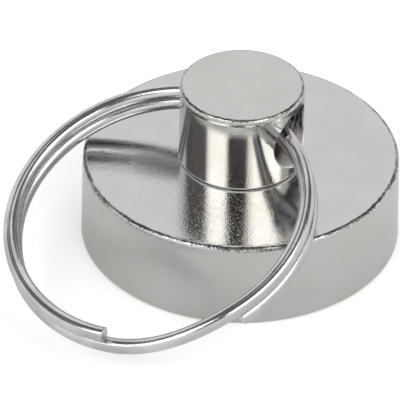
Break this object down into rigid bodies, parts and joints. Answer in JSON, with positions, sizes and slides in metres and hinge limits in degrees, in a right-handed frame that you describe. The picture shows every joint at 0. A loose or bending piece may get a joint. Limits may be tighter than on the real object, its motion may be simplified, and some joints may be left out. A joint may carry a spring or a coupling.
{
  "type": "pot magnet",
  "caption": "Round pot magnet with a polished knob, cross-drilled near the top, and a loose split ring through the hole for pulling it off or hanging things from it.",
  "frame": {"origin": "centre of the flat holding face on the underside of the pot", "axes": "+Z away from the holding face through the knob, X along the hole across the knob, -Y toward the side the ring lies on"},
  "size_m": [0.0267, 0.0344, 0.0138],
  "materials": {
    "pot_nickel": "satin-bright nickel plate on steel",
    "knob_nickel": "polished nickel plate on turned steel",
    "magnet_face": "plain nickel plate on a sintered magnet",
    "potting_resin": "matt black casting resin",
    "ring_nickel": "bright nickel plate on spring steel wire"
  },
  "bodies": {
    "magnet_body": {"pot": "pot_nickel", "magnet": "magnet_face", "potting_ring": "potting_resin", "knob": "knob_nickel"},
    "ring": {"split_ring": "ring_nickel"}
  },
  "joints": [
    {"name": "ring_swing", "type": "hinge", "parent": "magnet_body", "child": "ring", "pos_m": [0, -0.00015, 0.01052], "axis": [-1, 0, 0], "range_deg": [0, 209]}
  ]
}
